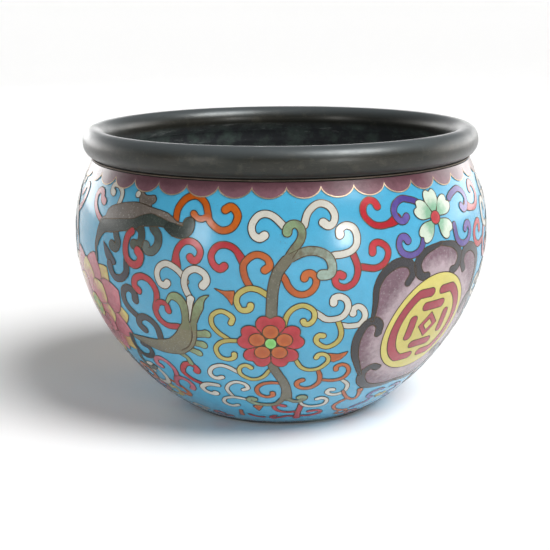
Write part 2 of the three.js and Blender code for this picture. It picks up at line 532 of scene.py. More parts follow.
widths = {"cream": 1.5, "orange": 1.4, "red": 1.4, "purple": 1.4, "yellow": 1.25}
slimming = {"fromDown": 50, "toDown": 105, "least": 0.64}     # curls are slimmer towards the foot
stemCurls = [                   # colour, level, across and down of each point, width factor at the root
    ("cream", 5, [1.7, 19, -2.5, 14.8, -6, 13.3, -9.5, 14.3, -12, 18, -11.6, 21.8, -9, 23.5, -6.8, 22.3]),
    ("cream", 5, [9.7, 18.3, 11, 13.5, 13.7, 10.3, 16.7, 9.2, 20.3, 10.6, 22.5, 14, 22.2, 17.3, 20, 18.8,
        17.6, 17.3]),
    ("orange", 4, [-1.5, 37, 1.4, 40.5, 3, 44, 5.6, 46.8, 9, 47.7, 12.3, 46.5, 14.4, 43.6, 14.5, 40.6,
        12.6, 38.5, 10.3, 38.8, 9.7, 40.4]),
    ("orange", 4, [-13, 44.4, -15.2, 40, -15.8, 35, -13, 31.5, -9.5, 30.3, -5.8, 32, -4.8, 35, -6.8, 36.8]),
    ("red", 3, [-15.7, 33.6, -19.3, 28.3, -23.6, 26.6, -27.4, 27.7, -29.7, 31.3, -28.8, 35, -26, 36.9,
        -24, 35.6], 1.35),
    ("yellow", 5, [-4.5, 49, -7, 47, -10, 45.3, -14, 45, -18, 47.5, -19, 51, -17.5, 54.5, -15, 55,
        -13.3, 54, -13, 52.6]),
    ("yellow", 4, [-22, 71, -24, 69.4, -27.4, 66.9, -30.2, 63, -30.2, 58.8, -27.4, 56.3, -24.3, 56.3,
        -21, 58.8, -21.7, 61.6]),
    ("yellow", 5, [-17, 70.8, -20, 70.8, -23.5, 71, -27, 72.5, -29, 76, -27.5, 80.5, -24, 82, -21, 80.7,
        -20.7, 78.5]),
    ("yellow", 5, [0.4, 65, 1, 62.5, 2.5, 57, 5.5, 53.7, 9.5, 52.7, 13.3, 55, 14, 58.5, 12.3, 61.3,
        10, 61.7, 9.2, 60.2]),
    ("cream", 4, [14, 56, 16.4, 57.8, 18.9, 59.7, 22.6, 60, 26.4, 58.8, 28.6, 55, 27.9, 51.3, 25.1, 49.4,
        22.5, 50, 22.2, 52.2]),
    ("yellow", 3, [23.5, 59.5, 25.4, 64.4, 25.75, 68.75, 23.9, 72.5, 19.5, 74.7, 15.75, 72.5, 14.8, 70,
        16, 68, 17.8, 68.3]),
    ("cream", 2, [25, 63, 27.5, 63.8, 30, 64.2, 34, 63.8, 36.5, 60.5, 36, 57, 33.5, 54.8, 31, 56, 31, 58]),
    ("yellow", 5, [5.2, 79, 6.5, 82.5, 8.3, 86, 11.5, 88, 16, 87.5, 19.8, 84, 20.3, 81, 18.5, 78.8,
        16, 78.8, 15, 80.5]),
    ("yellow", 5, [-3, 86, -5.5, 88, -7.5, 91.5, -10.5, 94, -14, 94.3, -18, 91.5, -18.8, 88, -17.3, 85.5,
        -15, 85.3, -13.5, 86.6]),
    ("cream", 4, [-18, 91, -20, 89.7, -23.6, 87.2, -27.4, 86.3, -31, 88, -32.7, 91.3, -31.8, 94.5,
        -29.3, 95.6, -27, 94.5]),
    ("cream", 3, [-21.5, 110.5, -24.5, 105.5, -25, 102, -23, 98.5, -20, 97.2, -16.5, 98.5, -15.3, 101.5,
        -17.3, 103]),
    ("orange", 5, [0.5, 97.5, -1, 97, -5, 96.6, -9, 98, -11.2, 101.5, -10.3, 105.8, -7, 108, -4.2, 106.8,
        -4.2, 104.5]),
    ("orange", 4, [15.4, 87.6, 16.1, 89.5, 16.8, 93, 16.2, 97.5, 13, 100.8, 9.5, 101.3, 6.8, 99.3,
        6.8, 96.5, 9, 95]),
    ("orange", 3, [16.5, 95, 18.9, 96, 23.25, 96.8, 27.6, 95.6, 30, 91.9, 29.5, 88.1, 27, 86.2, 24.3, 87.3,
        24.1, 89.3]),
    ("cream", 2, [26, 96, 29.5, 100, 30.1, 103.1, 28.6, 106.9, 25.1, 108.75, 22, 108.1, 20.4, 105.9,
        21.7, 104, 23.3, 104.3]),
    ("cream", 5, [7.9, 111.9, 8.9, 115, 11.4, 117.4, 15.1, 118, 19, 116.8, 20.5, 113.75, 20, 111.6,
        18, 110.3, 15.9, 111.2]),
    ("cream", 4, [-15, 112, -18, 110.6, -22.4, 110, -26.1, 111.6, -27.2, 114.5, -26.1, 117.2, -23, 118.75,
        -20.5, 117.5]),
    ("orange", 3, [28.2, 106.5, 29, 109.5, 30.3, 112.6, 32.9, 115.6, 35.2, 115.4, 36.4, 112.7,
        37, 109.3], 1.3),
    ("orange", 2, [31, 114.2, 27, 116.8, 24.2, 120.6, 25.4, 125, 28.3, 127.5], 1.2),
    ("cream", 4, [20.5, 32, 22.5, 31.2, 25.75, 31, 29.5, 30, 32, 27.5, 32.3, 23.75, 30.75, 20.3, 27.6, 19,
        24.8, 20.4, 24.8, 22.8]),
    ("red", 3, [30, 29.8, 32.5, 36, 32.6, 40, 30.75, 43.75, 27, 45.4, 23.6, 44, 22.8, 41.25, 24.2, 39.4,
        26, 40.2]),
]
stemParts = [                   # colour, level, half width, points, root factor, rows without a wire
    ("olive", 6, 2.25, [2, 33, -1.5, 38, -3.4, 45, -4, 52, -4.3, 60, -4.4, 70]),
    ("olive", 6, 1.95, [-4.4, 74, -4.8, 80, -3.8, 85.5, -1.9, 90.3, 0.2, 95, 1.5, 99.5, 2, 104,
        1.9, 109], 0.85),
    ("fork_grey", 7, 1.8, [0, 35.5, 2, 33.3, 6, 30.7, 11, 29, 16, 29.5, 20, 32, 21.5, 36, 20.5, 39,
        17, 39.3], 1.1, 12),
    ("fork_green", 7, 1.62, [0.6, 35, 2, 33, 5, 28.5, 8, 24.5, 8.7, 20.8, 7, 18, 4.5, 17.8, 2.8, 19.5,
        2.6, 21], 1.3, 11),
    ("fork_green", 7, 1.2, [1.2, 105.5, 0.2, 109, -1.8, 113.2, -4.5, 115, -8.5, 115.2, -12.4, 114,
        -14.9, 111.5, -14.3, 109.6, -12.4, 110.6], 1.2, 10),
    ("fork_green", 7, 1.1, [1.7, 105.5, 2.3, 108.6, 4, 111, 6.7, 112.2, 9.3, 110.8, 10.5, 108.8, 9.3, 107.8,
        7.6, 108.8], 1.3, 9),
    ("red", 4, 1.3, [8.7, 115.4, 8, 119.5, 7.2, 123.7, 6.6, 131]),
    ("red", 3, 1.0, [7, 122.8, 2.8, 123.6, -1.1, 122.4, -3.4, 119.2, -3.4, 116.8, -1.5, 115.6, 1, 116.8]),
    ("red", 3, 0.9, [6.6, 129.3, 2.3, 128.6, -1.8, 130.8, -4.2, 132, -5, 129.8, -3.3, 128.2]),
    ("red", 3, 1.0, [7.4, 128.6, 12.6, 129, 16.4, 127.3, 17.8, 124.7, 15.7, 123, 12.4, 123.8]),
    ("red", 2, 0.8, [-15.2, 127.6, -12, 130, -8.7, 130.6]),
    ("orange", 2, 0.9, [-19.3, 123.6, -19.2, 126, -18.8, 129]),
    ("purple", 2, 1.0, [52, 112.4, 49, 112, 45.5, 112.9, 43, 115, 42.6, 117.6, 44.8, 118.4], 0.8),
    ("purple", 1, 0.9, [33.5, 126.2, 36, 125, 38.5, 123.8, 41.5, 123, 43.5, 121.4], 0.8),
    ("yellow", 1, 1.0, [48.6, 119.6, 51.4, 118.6, 54, 117.8]),
]


def drawCurls(rows, sector, copies):
    # a row is a colour, a level, half the width and the points, then what else the stroke takes
    for name, level, halfWidth, points, *more in rows:
        stroke(name, sector, points, halfWidth, level, copies, *more)


for name, level, points, *root in stemCurls:
    slim = np.interp(points[1], [slimming["fromDown"], slimming["toDown"]], [1.0, slimming["least"]])
    stroke(name, frontSheet, points, widths[name] * slim, level, bothSides, (root[0] if root else 1.0) * slim)
drawCurls(stemParts, frontSheet, bothSides)
sBend = [-46.1, 18.5, -44.9, 12.5, -40.8, 7.8, -35.9, 6.6, -32.2, 9.4, -31, 13.5, -30, 17.2, -25.5, 20.6,
    -20.5, 19.4, -18, 15, -19, 11.9, -21, 10.6, -23.3, 11.9]
stroke("orange", frontSheet, sBend, 1.45, 4, bothSides)
stroke("orange", frontSheet, sBend[:14], 1.45, 4, besideLotus[2:])
stroke("orange", frontSheet, [-31, 14.6, -33.4, 16.2, -35.6, 16, -37.4, 14.4], 1.3, 5, besideLotus, joined=8)
leaves = [
    [-28.7, 45.5, -24.4, 46.5, -19.8, 46.2, -20.1, 49.5, -21, 53, -22.8, 50, -24.8, 48],
    [20.2, 78.4, 24.8, 79.4, 29.4, 78.2, 28, 80.7, 25.8, 82.9, 22.8, 84, 20.8, 83],
    [-13.4, 117.2, -11, 116, -8.5, 116.4, -10.6, 122.5],
]
for points in leaves:
    fan("orange", frontSheet, spaced(pairs(points + points[:2]), cornerStep)[:-1], 3, bothSides)
disc("orange", frontSheet, 37.1, 107.9, 1.6, 4, bothSides)

# The red flower: five heart petals, five round beads and a green heart

redFlower = {
    "across": -4.7,
    "down": 71.7,
    "petalStart": 1.5,
    "petalLength": 13.5,
    "petalWidth": 12.6,
    "notch": 0.6,
    "beadRadius": 3.45,
    "beadReach": 6.2,
    "heart": 2.5,
    "heartSquash": 1.15,
    "angles": (-90, -18, 54, 126, 198),
}


def drawPetals(name, f, sector, level, copies, tone=None):
    # one heart outline, turned to each of the flower's angles
    petal = heartOutline(f["petalLength"], f["petalWidth"], f["notch"]) + [f["petalStart"], 0]
    for angle in f["angles"]:
        fan(name, sector, turned(petal, angle, f["across"], f["down"]), level, copies, tone=tone)


def drawRedFlower(f):
    drawPetals("red", f, frontSheet, 7, bothSides)
    for angle in f["angles"]:
        x, y = towards(angle, f["beadReach"]) + [f["across"], f["down"]]
        disc("orange", frontSheet, x, y, f["beadRadius"], 8, bothSides)
    disc("leaf_green", frontSheet, f["across"], f["down"], f["heart"], 8, bothSides, f["heartSquash"])


drawRedFlower(redFlower)
print("stem and flower drawn")

# The white flower above the medallion, with the curls on both its sides

whiteFlower = {
    "turn": 43.1,
    "across": 0,
    "down": 20.0,
    "petalStart": 1.5,
    "petalLength": 11.8,
    "petalWidth": 8.5,
    "notch": 0.6,
    "greenTo": 3,               # the petals fade from green to white between these reaches
    "whiteFrom": 10,
    "heart": 2.9,
    "angles": (-93, -34, 40, 138, 209),
}
flowerCurls = [                 # colour, level, points, width factor at the root
    ("purple", 5, [2.5, 13, 0, 11.5, -3, 10.5, -7, 9.8, -11, 12, -12.3, 15.5, -10.5, 18.8, -8, 19.3,
        -6.3, 17.8]),
    ("red", 4, [-11.5, 18, -15, 19.6, -19.5, 20.3, -23.5, 19.3, -26.7, 15.5, -26.3, 11.5, -23.5, 9.1,
        -20.8, 9.8, -19.9, 11.9], 1.7),
    ("purple", 5, [2.6, 25, 1, 31, -2, 33.8, -6, 34.5, -10, 33, -11.8, 29.5, -10.8, 26.5, -8.5, 26.3,
        -7, 28]),
    ("red", 2, [-30, 37, -23.6, 38.1, -19.25, 36.25, -17.4, 32.5, -18.3, 29.4, -21.75, 27.2, -24.5, 28.1,
        -24.9, 31.2]),
]


def drawWhiteFlower(f):
    fade = (0, f["down"], f["greenTo"], f["whiteFrom"])
    drawPetals("blossom", f, f["turn"], 6, frontAndBack, fade)
    disc("red", f["turn"], 0, f["down"], f["heart"], 7, frontAndBack)


drawWhiteFlower(whiteFlower)
for name, level, points, *root in flowerCurls:
    stroke(name, rightSheet, points, widths[name], level, besideMedallion, *root)

# The medallion: a cloud collar of dark curls round a yellow roundel with a plain lattice

medallion = {
    "down": 70.5,
    "paleTo": 25,               # the cloud darkens between these reaches
    "darkFrom": 35,
    "curlWidth": 2.0,           # half widths
    "latticeWidth": 2.1,
    "roundel": 25.5,
    "ringRadius": 20.2,
    "ringTurn": 58,
    "ringHook": (3.8, -17.1),
    "lozenge": (6.2, 6.6),
    "lozengeHole": 0.45,
    "holeStep": 0.5,
}
bars = [[-5.25, -10.2, 5.25, -10.2], [-5.25, 10.2, 5.25, 10.2], [-11, -4.4, -11, 4.4], [11, -4.4, 11, 4.4]]
cloudCurls = [                  # from the medallion's middle, its left half
    [-8.5, -25.5, -11.2, -25.6, -13.6, -27.6, -14.5, -32, -10, -36.5, 0, -38.8],
    [-19.5, -24, -17.2, -28, -19.5, -32.5, -26, -33.3, -32.5, -29.5, -35.3, -23.5, -34.8, -16, -34.2, -8],
    [-29, -0.5, -29.8, -5, -33.5, -7.7, -37.2, -5.5, -38.6, 1, -36.5, 9.5, -31.5, 18, -27, 24.5],
    [-19.4, 21.4, -23.5, 19.8, -26.2, 24, -23.5, 30, -17.9, 34.5, -9, 36.3, 0, 35.5],
]
cloudEdge = [0, -38.8, -10, -36.5, -14.8, -31, -17.5, -30.5, -20, -32.8, -26, -33.3, -32.5, -29.5,
    -35.3, -23.5, -34.8, -16, -34.2, -8, -37.2, -5.5, -38.6, 1, -36.5, 9.5, -31.5, 18, -27, 24.5, -26, 26.5,
    -23.5, 30, -17.9, 34.5, -9, 36.3, 0, 35.5]


def drawMedallion(m):
    moved = np.array([0, m["down"]])

    def lattice(path):
        line = spaced(path, pathStep) + moved
        stroke("crimson", medallionTurn, None, m["latticeWidth"], 5, frontAndBack, tip=1.0, path=line)

    half = pairs(cloudEdge)
    whole = np.vstack([half, (half * [-1, 1])[::-1][1:]])
    outline = smoothPath(whole, 1.2)[:-1] + moved
    fade = (0, m["down"], m["paleTo"], m["darkFrom"])
    fan("mauve", medallionTurn, outline, 2, frontAndBack, moved, tone=fade)
    for points in cloudCurls[::-1]:
        for mirror in (1, -1):
            path = smoothPath(pairs(points) * [mirror, 1] + moved)[::-1]
            stroke("charcoal", medallionTurn, None, m["curlWidth"], 3, frontAndBack, 0.4, tip=0.85,
                   path=path, swell=0.6)
    circle = onCircle(wholeTurn(120)) * m["roundel"] + moved
    fan("gold_yellow", medallionTurn, circle, 4, frontAndBack, moved)
    arc = onCircle(np.radians(np.linspace(-m["ringTurn"], m["ringTurn"], 40))) * m["ringRadius"]
    hook = pairs(m["ringHook"])
    for mirror in (1, -1):
        lattice(np.vstack([hook, arc, hook * [1, -1]]) * [mirror, 1])
    for ends in bars:
        lattice(pairs(ends))
    wide, tall = m["lozenge"]
    lozenge = pairs([0, -tall, wide, 0, 0, tall, -wide, 0, 0, -tall])
    fan("crimson", medallionTurn, spaced(lozenge, cornerStep)[:-1] + moved, 5, frontAndBack, moved)
    hole = spaced(lozenge * m["lozengeHole"], m["holeStep"])[:-1] + moved
    fan("gold_yellow", medallionTurn, hole, 6, frontAndBack, moved)


drawMedallion(medallion)
print("medallion drawn")

# The cloud canopy, the palm bud and the curls beside the lotus

greyTop = [-31.4, 23.2, -28.5, 21.3, -26.2, 20.3, -25, 17.7, -22.5, 15.7, -18.3, 14.2, -13.2, 12.9,
    -6.5, 11.9, -2, 12.2, 3, 13.2, 11.5, 14.7, 14.9, 16.4, 17.7, 18.2, 20.8, 18.6]
greyBottom = [-31, 24, -27.8, 22, -20.9, 21, -14.4, 20.1, -6.5, 19.1, -2.2, 17.3, 3.6, 15.9, 8.7, 16.9,
    15.4, 18.9, 18.6, 20.2, 20.6, 20.5]
darkTop = [-34, 34.6, -33.4, 31.5, -32.6, 28, -30.9, 24.3, -27.8, 22] + greyBottom[4:]
darkBottom = [-32, 35, -31.2, 32.8, -28.2, 29.3, -25, 27.4, -20.1, 26.8, -13.5, 25.4, -9.5, 24.7,
    -3.8, 23.4, -1.4, 21.9, 6.2, 21.2, 9.5, 20.9, 12.7, 21.4, 15.8, 22.5, 20.5, 24.2]
knob = [-4.4, 12.6, -4.6, 10.4, -6, 8.6, -5, 7.1, -3, 7.4, -1.3, 8.3, 1.2, 8.2, 3.3, 7.9, 4.8, 9.4, 4.4, 11,
    2.8, 12.2, 3.2, 13.8, 0, 14.6, -3.5, 14, -4.4, 12.6]
darkTip = [13.5, 20.6, 17.6, 22, 21, 22.4, 23.2, 20.9, 23.4, 18.6]
darkTail = [-32.9, 31, -34, 34.5, -33.8, 38, -33.3, 41.5]
fan("canopy_grey", leftSheet, smoothPath(knob, outlineStep)[:-1], 5, besideLotus, (-0.2, 11.4))
# a small cream disc at the knob's left end is a painted glint
disc("cream", leftSheet, -6.2, 8.3, 1.5, 6, besideLotus)
band("canopy_grey", leftSheet, greyTop, greyBottom, 6, besideLotus)
band("forest", leftSheet, darkTop, darkBottom, 6, besideLotus)
stroke("forest", leftSheet, darkTip, 2.7, 7, besideLotus, 0.75, joined=9, tip=1.0)
stroke("forest", leftSheet, darkTail, 0.8, 5, besideLotus, tip=0.6)

stalkTop = [-19, 75.9, -16.9, 76.3, -10.8, 76.1, -2.7, 75.8, 2.2, 75, 7.1, 73.6, 11.5, 70.3, 14.9, 66.2,
    17.2, 63.5]
stalkBottom = [-17.5, 77.6, -16.4, 78.4, -11.7, 79.9, -4.6, 81.9, 1.4, 82.8, 8.4, 82.3, 13.2, 80.7,
    18.7, 76.4, 22.1, 70.9, 23.4, 66.7, 24.4, 62.7]
curlLeft = [16, 67, 17.2, 63.5, 18.2, 59.6, 18.1, 55.2, 16.6, 53.2, 14.4, 52.4, 13, 54, 12, 54.9]
curlRight = [20, 67, 20.7, 63.5, 21.7, 58.5, 21.8, 53.7, 19.7, 50.1, 16.6, 48.9, 13.6, 50.1, 11.2, 53.6]
bladeLeft = [20.4, 67, 21.5, 63.4, 23, 59.1, 25.2, 54.1, 27.9, 50.7, 30.6, 49.2, 32.9, 48.8]
bladeRight = [23.4, 67, 24.3, 63.5, 26.5, 59.5, 29.2, 55.5, 29.9, 52.6, 31.2, 50.5, 32.9, 49]
drop = [22.4, 50.4, 22, 53, 21.4, 58, 21.2, 62.7, 22.6, 59.4, 23.7, 56.4, 25, 53, 26, 50.8, 24.4, 49.4,
    22.4, 50.4]
stalkVein = [11.5, 79.7, 16.6, 76.2, 20, 70.8, 21.3, 65]
band("palm_olive", leftSheet, stalkTop, stalkBottom, 5, besideLotus)
band("leaf_sage", leftSheet, curlLeft, curlRight, 6, besideLotus, 5)
band("leaf_sage", leftSheet, bladeLeft, bladeRight, 6, besideLotus, 5)
fan("cream", leftSheet, smoothPath(drop, outlineStep)[:-1], 5, besideLotus, (23, 54.5))
wireAlong(leftSheet, smoothPath(stalkVein), nextLift(6), besideLotus, False)
lotusCurls = [                  # colour, level, half width, points, root factor, rows without a wire
    ("cream", 5, 1.25, [-18, 15.5, -16.7, 9.5, -20, 6.1, -24.2, 5.9, -25.2, 8.5, -23.3, 9.6]),
    ("pink", 5, 1.4, [-29.5, 23, -34.2, 20.2, -37.7, 16.2, -38, 12.2, -35.8, 9.9, -32.8, 10.4, -31.6, 13.2,
        -29.5, 14.4]),
    ("slate", 5, 1.8, [5.2, 19.5, 6, 22, 8.8, 24.7, 9, 28.5, 6.3, 31.8, 3.3, 31.8, 2.4, 29.9]),
    ("moss", 5, 1.8, [-3.8, 20, -3.1, 22, -0.7, 23.7, -0.3, 26.9, -1.9, 30.4, -4.7, 30.1]),
    ("forest", 5, 1.8, [-18, 24, -17.3, 25.7, -16.5, 28.3, -15.3, 30.8, -16.9, 33.4, -19.8, 32.4]),
    ("red", 7, 1.7, [-6, 24.6, -8.3, 26.6, -9.9, 31.4, -9.1, 36.6, -5.2, 39.1, -1.6, 38, -0.5, 34.8,
        -2.3, 32.7]),
    ("navy", 6, 1.6, [-9.4, 36.5, -9.8, 40.1, -10.3, 43.6, -13.9, 46.6, -18.4, 47, -20.9, 44.6,
        -22.1, 41.4]),
    ("red", 3, 1.5, [16, 66.5, 14.5, 66, 9, 66.2, 5.3, 63.5, 4.3, 59, 6.2, 54, 6.7, 49.5, 4, 45.3,
        -0.5, 43.8, -4.8, 45.5, -5.7, 49, -3.5, 50.8]),
    ("red", 4, 1.3, [5.2, 57.5, 7.6, 54.7, 11, 55.3, 11.5, 58.3], 1.2, 8),
    ("charcoal", 4, 1.6, [1.5, 77, 2.3, 70, 0.5, 66, -3.5, 64, -7.5, 65.5, -8.8, 69, -6.5, 71.3]),
    ("charcoal", 3, 1.6, [-8, 65, -13.5, 60.5, -15, 56.5, -14, 52.5, -10.5, 50.6, -7, 52.5, -7, 56]),
    ("charcoal", 4, 1.3, [-19.6, 77.5, -20.2, 82.5, -18.9, 87, -15.3, 89.2, -10.8, 88.1, -8.6, 85,
        -9.6, 81.8, -12.6, 81]),
    ("slate", 3, 1.2, [-19.4, 86, -21.6, 92, -20.6, 96.8, -16.8, 98.4, -13.2, 96.4]),
    ("leaf_sage", 4, 1.7, [21, 68.9, 23, 68.8, 27.6, 68.2]),
    ("leaf_sage", 4, 1.7, [17.5, 73, 19.5, 73.8, 24, 74.6]),
    ("leaf_sage", 4, 1.6, [14.5, 76.5, 16.5, 78.1, 20, 79.8]),
    ("leaf_sage", 4, 1.1, [8.5, 80.8, 10.3, 81.9, 12.8, 83.9, 13.3, 87.2], 1.3),
    ("cream", 4, 1.5, [24, 51, 22.5, 47.5, 21.9, 43.8, 23.5, 39.5, 27.5, 37.6, 31.5, 39.3, 32.5, 42.3,
        30.5, 44.8], 1.0, 5),
    ("cream", 3, 1.4, [22.8, 43.5, 20.5, 40, 17, 37.5, 13, 36.5, 9.5, 38.5, 8.3, 42, 9.5, 45.5, 12, 46.3,
        13.5, 45]),
    ("red", 2, 1.4, [18.3, 37, 18.5, 31.2, 20.75, 27.4, 23.9, 25.9, 27.6, 26.9, 29.8, 30, 28.6, 33.4,
        26.4, 34, 25.1, 32.8], 1.7),
    ("cream", 5, 1.3, [20.75, 101, 16.4, 101, 13, 102.5, 11, 105, 12, 107.8, 14.8, 109, 16.7, 107.8]),
    ("red", 4, 1.3, [13, 102, 8.6, 99.4, 6, 96, 5.8, 94, 7.6, 90.6, 10.75, 88, 14, 88.8, 14.8, 91.2,
        13.6, 92.8]),
    ("pink", 3, 1.3, [-5, 108, -3.5, 103.5, -0.5, 99, 0.6, 94.5, -1, 90.5, -4.5, 88.2, -8.5, 89.5, -9.5, 93,
        -7.5, 94.2]),
    ("pink", 4, 1.2, [-2, 101.5, 0, 100.4, 2, 100, 5, 102, 5.6, 105.5, 3.8, 108], 1.2, 6),
]
drawCurls(lotusCurls, leftSheet, besideLotus)
navyLeaf = [-26.7, 31.8, -21.5, 35.5, -17.3, 39.9, -19.6, 41.4, -22, 41, -25, 37.7, -26.7, 31.8]
fan("navy", leftSheet, smoothPath(navyLeaf, outlineStep)[:-1], 5, besideLotus)

# The lotus: a round head of pointed petals, pink near the middle and yellow at the tips

lotus = {
    "down": 66.0,
    "petalStart": 3.0,
    "fullest": 0.6,
    "fadeFrom": 0.35,           # share of a petal's reach where its second colour starts
    "heart": 6.0,
    "seeds": 6,
    "seedRadius": 1.3,
    "seedReach": 3.6,
}
lotusPetals = [                 # colour, angle from upright, reach, width, level
    ("petal_yellow", 44, 31.5, 15, 3),
    ("petal_yellow", 89, 29.5, 14, 3),
    ("petal_yellow", 134, 30.0, 14, 3),
    ("petal_yellow", 180, 28.0, 14, 3),
    ("petal_pink", 66, 31.0, 17, 4),
    ("petal_pink", 111, 27.5, 15, 4),
    ("petal_pink", 157, 26.0, 14, 4),
    ("petal_pink", 22, 30.0, 16, 4),
    ("petal_yellow", 0, 24.0, 15, 5),
    ("petal_yellow", 48, 20.0, 13, 6),
    ("petal_yellow", 96, 17.5, 12, 5),
    ("petal_pink", 140, 16.0, 12, 6),
    ("petal_pink", 180, 15.0, 11, 7),
]


def drawLotus(f):
    for name, angle, reach, width, level in lotusPetals:
        leaf = leafOutline(reach - f["petalStart"], width, f["fullest"]) + [f["petalStart"], 0]
        fade = (0, f["down"], f["fadeFrom"] * reach, reach)
        for mirror in ((1, -1) if angle % 180 else (1,)):
            way = -90 + mirror * angle
            outline = turned(leaf, way, 0, f["down"])
            middle = turned(pairs([reach / 2, 0]), way, 0, f["down"])[0]
            fan(name, lotusTurn, outline, level, bothSides, middle, tone=fade)
    disc("gold_yellow", lotusTurn, 0, f["down"], f["heart"], 8, bothSides)
    for k in range(f["seeds"]):
        x, y = towards(30 + 360 / f["seeds"] * k, f["seedReach"])
        disc("leaf_green", lotusTurn, x, f["down"] + y, f["seedRadius"], 9, bothSides)


drawLotus(lotus)
print("lotus drawn")

# Small curls that fill the gaps beside the lotus, behind, and low down round the foot

def drawCurledRow(rows):
    # a curl of each row's own, laid at its turn on the body
    for turn, down, radius, start, sweep, tail, halfWidth, name in rows:
        path = curlPath(0, down, radius, start, sweep, tail)
        stroke(name, turn, None, halfWidth, 1, bothSides, path=path)


gapCurls = [                    # turn, down, radius, start, sweep, tail, half width, colour
    (-110.0, 92, 4.0, 90, 250, 8, 1.26, "orange"),
    (-109.0, 104, 3.8, -90, -240, 7, 1.35, "cream"),
    (-117.0, 114, 3.8, 95, 245, 7, 1.26, "red"),
    (-127.5, 117, 3.6, -95, -245, 7, 1.125, "yellow"),
]
lowCurls = [                    # below the lotus, one half: colour, level, half width, points
    ("orange", 3, 1.35, [0.8, 102, 4.5, 107, 10, 108.8, 14.8, 106.4, 16, 101.6, 13.2, 98.4, 9.8, 99.4,
        9.5, 102.6]),
    ("cream", 2, 1.35, [14, 107, 18.6, 109, 23.6, 107, 26.4, 102.2, 25.6, 97.2, 22, 95.2, 19, 97,
        19.6, 100]),
    ("red", 2, 1.3, [1.2, 106, 2.6, 112, 7, 116.4, 12.6, 117, 16, 114, 14.6, 111, 11.6, 111.4]),
    ("yellow", 1, 1.2, [13.5, 117, 18, 119, 22.6, 117.2, 24.6, 113, 22.6, 110.8, 20.2, 112]),
    ("cream", 1, 1.2, [1.2, 112, 2.2, 118, 5.4, 122.4, 9.8, 122.8, 12, 120.2, 10.4, 118.4]),
    ("orange", 1, 1.2, [26, 104, 30.5, 107.5, 31.5, 112.5, 28.6, 116, 25.6, 115]),
]
lowStem = [0, 88, 0, 96, 0, 104, 0, 112, 0, 121]
footRow = {
    "count": 10,
    "from": -134.0,
    "to": -26.0,
    "down": 131.0,
    "wave": 1.5,                # every other curl is this much higher or lower, and mirrored
    "curl": (3.2, 100, 245, 6.5, 1.0),
    "names": ("cream", "red", "yellow", "orange"),
}
footPair = [(29, 130, 2.8, 100, 240, 6, 0.9, "orange"), (37, 134, 2.8, 100, 240, 6, 0.9, "red")]


def footCurls(f):
    # evenly spaced turns, alternately mirrored, with the colours in order
    radius, start, sweep, tail, halfWidth = f["curl"]
    pitch = (f["to"] - f["from"]) / f["count"]
    for k in range(f["count"]):
        hand = 1 if k % 2 else -1
        down = f["down"] + f["wave"] * hand
        name = f["names"][k % len(f["names"])]
        yield f["from"] + (k + 0.5) * pitch, down, radius, start * hand, sweep * hand, tail, halfWidth, name


drawCurledRow(gapCurls)
drawCurls(lowCurls, lotusTurn, besideLotus)
stroke("olive", lotusTurn, lowStem, 1.5, 2, bothSides)
drawCurledRow(footCurls(footRow))
drawCurledRow(footPair)
print("fill drawn")


unrolled = {"turnFrom": -170, "turns": 440, "edge": 0.01}     # where the cells lie in their map


def gatherCells(name, grids):
    # all grids of one colour in one mesh, each one's faces turned to look outwards
    points, faces, uv, shade = [], [], [], []
    first = 0
    for turn, down, lift, tone in grids:
        rows, columns = turn.shape
        quads = gridFaces(rows, columns, first)
        along = np.diff(turn, axis=1)[:-1] * -np.diff(down, axis=0)[:, :-1]
        beside = np.diff(turn, axis=0)[:, :-1] * -np.diff(down, axis=1)[:-1]
        if np.sum(along - beside) <= 0:
            quads = quads[:, ::-1]
        points.append(onBody(turn, down, lift).reshape(-1, 3))
        u = (turn.ravel() - unrolled["turnFrom"]) / unrolled["turns"]
        v = unrolled["edge"] + (1 - 2 * unrolled["edge"]) * (1 - down.ravel() / sideLength)
        uv.append(np.stack([u, v], 1))
        shade.append(tone.ravel())
        faces.append(quads)
        first += rows * columns
    piece = makePiece(name, np.vstack(points), np.vstack(faces), np.vstack(uv), np.concatenate(shade))
    return piece


cellPieces = {}
for name, grids in cells.items():
    cellPieces[name] = gatherCells(name if "_" in name else "cells_" + name, grids)
print("cells made")

# Materials

def linear(code):
    # a screen colour as the light values that shaders use
    c = np.array([int(code[k:k + 2], 16) / 255 for k in (0, 2, 4)])
    c = np.where(c <= 0.04045, c / 12.92, ((c + 0.055) / 1.055)**2.4)
    return (*c.tolist(), 1.0)


